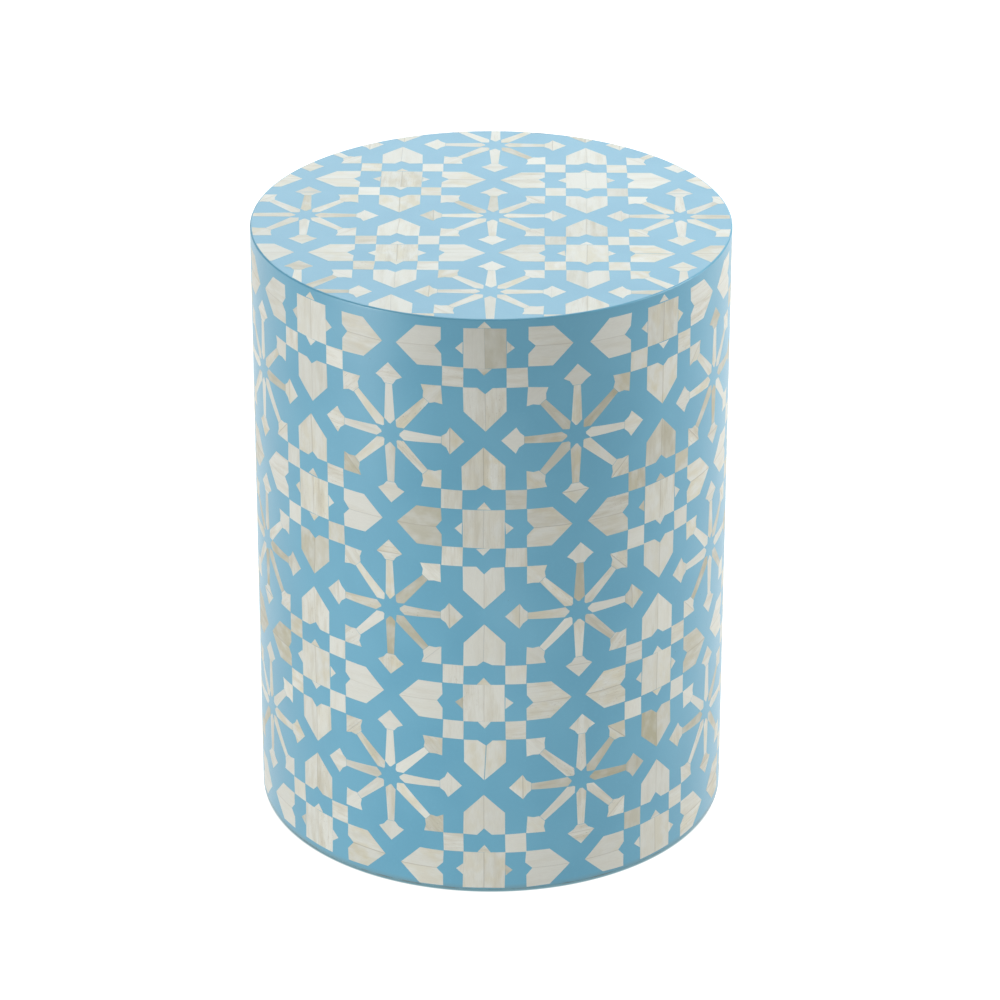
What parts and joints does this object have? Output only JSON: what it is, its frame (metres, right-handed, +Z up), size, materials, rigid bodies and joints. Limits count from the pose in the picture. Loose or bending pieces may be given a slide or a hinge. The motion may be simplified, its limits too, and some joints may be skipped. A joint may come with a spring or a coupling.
{
  "type": "drum stool",
  "caption": "Round drum stool to sit on or set a tray on, straight sided and closed, with bone tiles laid in blue resin as a lattice of stars over the side and the seat.",
  "frame": {"origin": "on the floor under the middle of the drum, level with the undersides of the glides", "axes": "+Z up along the drum's axis, -Y towards the front, where a column of star tiles faces the viewer, +X to the viewer's right"},
  "size_m": [0.35, 0.35, 0.462],
  "materials": {
    "blue_resin": "satin, cast and sanded sky-blue polyester resin",
    "bone": "satin, polished off-white bone with fine grain",
    "plywood": "raw bent plywood",
    "fibreboard": "raw medium density fibreboard",
    "pine": "sawn softwood",
    "nylon": "moulded nylon"
  },
  "bodies": {
    "root": {"outer_ply_wrap": "plywood", "inner_ply_wrap": "plywood", "batten_1": "pine", "batten_2": "pine", "batten_3": "pine", "batten_4": "pine", "batten_5": "pine", "batten_6": "pine", "lower_former_ring": "fibreboard", "middle_former_ring": "fibreboard", "upper_former_ring": "fibreboard", "seat_board": "fibreboard", "base_board": "fibreboard", "glide_1": "nylon", "glide_2": "nylon", "glide_3": "nylon", "glide_4": "nylon", "side_resin": "blue_resin", "seat_resin": "blue_resin", "side_inlay_panel_1": "bone", "side_inlay_panel_2": "bone", "side_inlay_panel_3": "bone", "side_inlay_panel_4": "bone", "side_inlay_panel_5": "bone", "side_inlay_panel_6": "bone", "side_inlay_panel_7": "bone", "side_inlay_panel_8": "bone", "seat_inlay": "bone", "seat_edge_tile_1": "bone", "seat_edge_tile_2": "bone", "seat_edge_tile_3": "bone", "seat_edge_tile_4": "bone", "seat_edge_tile_5": "bone", "seat_edge_tile_6": "bone", "seat_edge_tile_7": "bone", "seat_edge_tile_8": "bone", "seat_edge_tile_9": "bone", "seat_edge_tile_10": "bone", "seat_edge_tile_11": "bone", "seat_edge_tile_12": "bone", "seat_edge_tile_13": "bone", "seat_edge_tile_14": "bone", "seat_edge_tile_15": "bone", "seat_edge_tile_16": "bone"}
  },
  "joints": []
}
